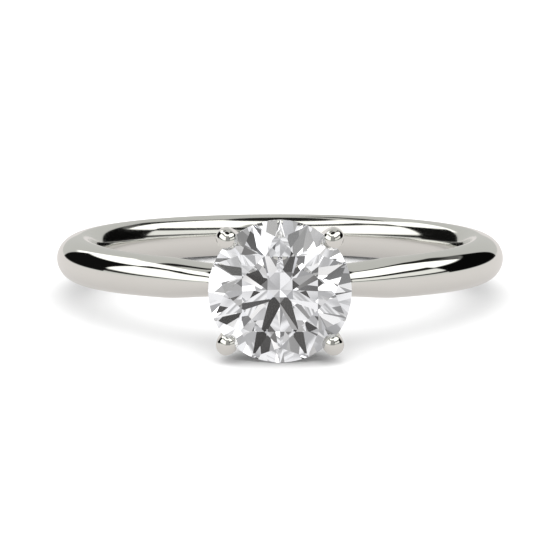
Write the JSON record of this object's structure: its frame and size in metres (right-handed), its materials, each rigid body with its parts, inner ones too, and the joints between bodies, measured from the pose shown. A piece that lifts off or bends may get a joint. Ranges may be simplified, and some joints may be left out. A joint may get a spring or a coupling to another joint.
{
  "type": "engagement ring",
  "caption": "Solitaire ring: a plain polished band that narrows to its shoulders and carries a round brilliant stone in a raised claw head.",
  "frame": {"origin": "centre of the finger hole, on the finger's axis and halfway across the band", "axes": "+Z along the finger's axis; the stone faces -Y; X runs across the ring. The ring is drawn lying on its side, as it lies on a table."},
  "size_m": [0.0212, 0.0248, 0.0066],
  "materials": {
    "white_gold": "mirror polished, rhodium white",
    "diamond": "flat polished facets, colourless"
  },
  "bodies": {
    "root": {"shank": "white_gold", "head_peg": "white_gold", "base_collet": "white_gold", "gallery_rail": "white_gold", "claw_upper_left": "white_gold", "claw_upper_right": "white_gold", "claw_lower_left": "white_gold", "claw_lower_right": "white_gold", "diamond": "diamond"}
  },
  "joints": []
}
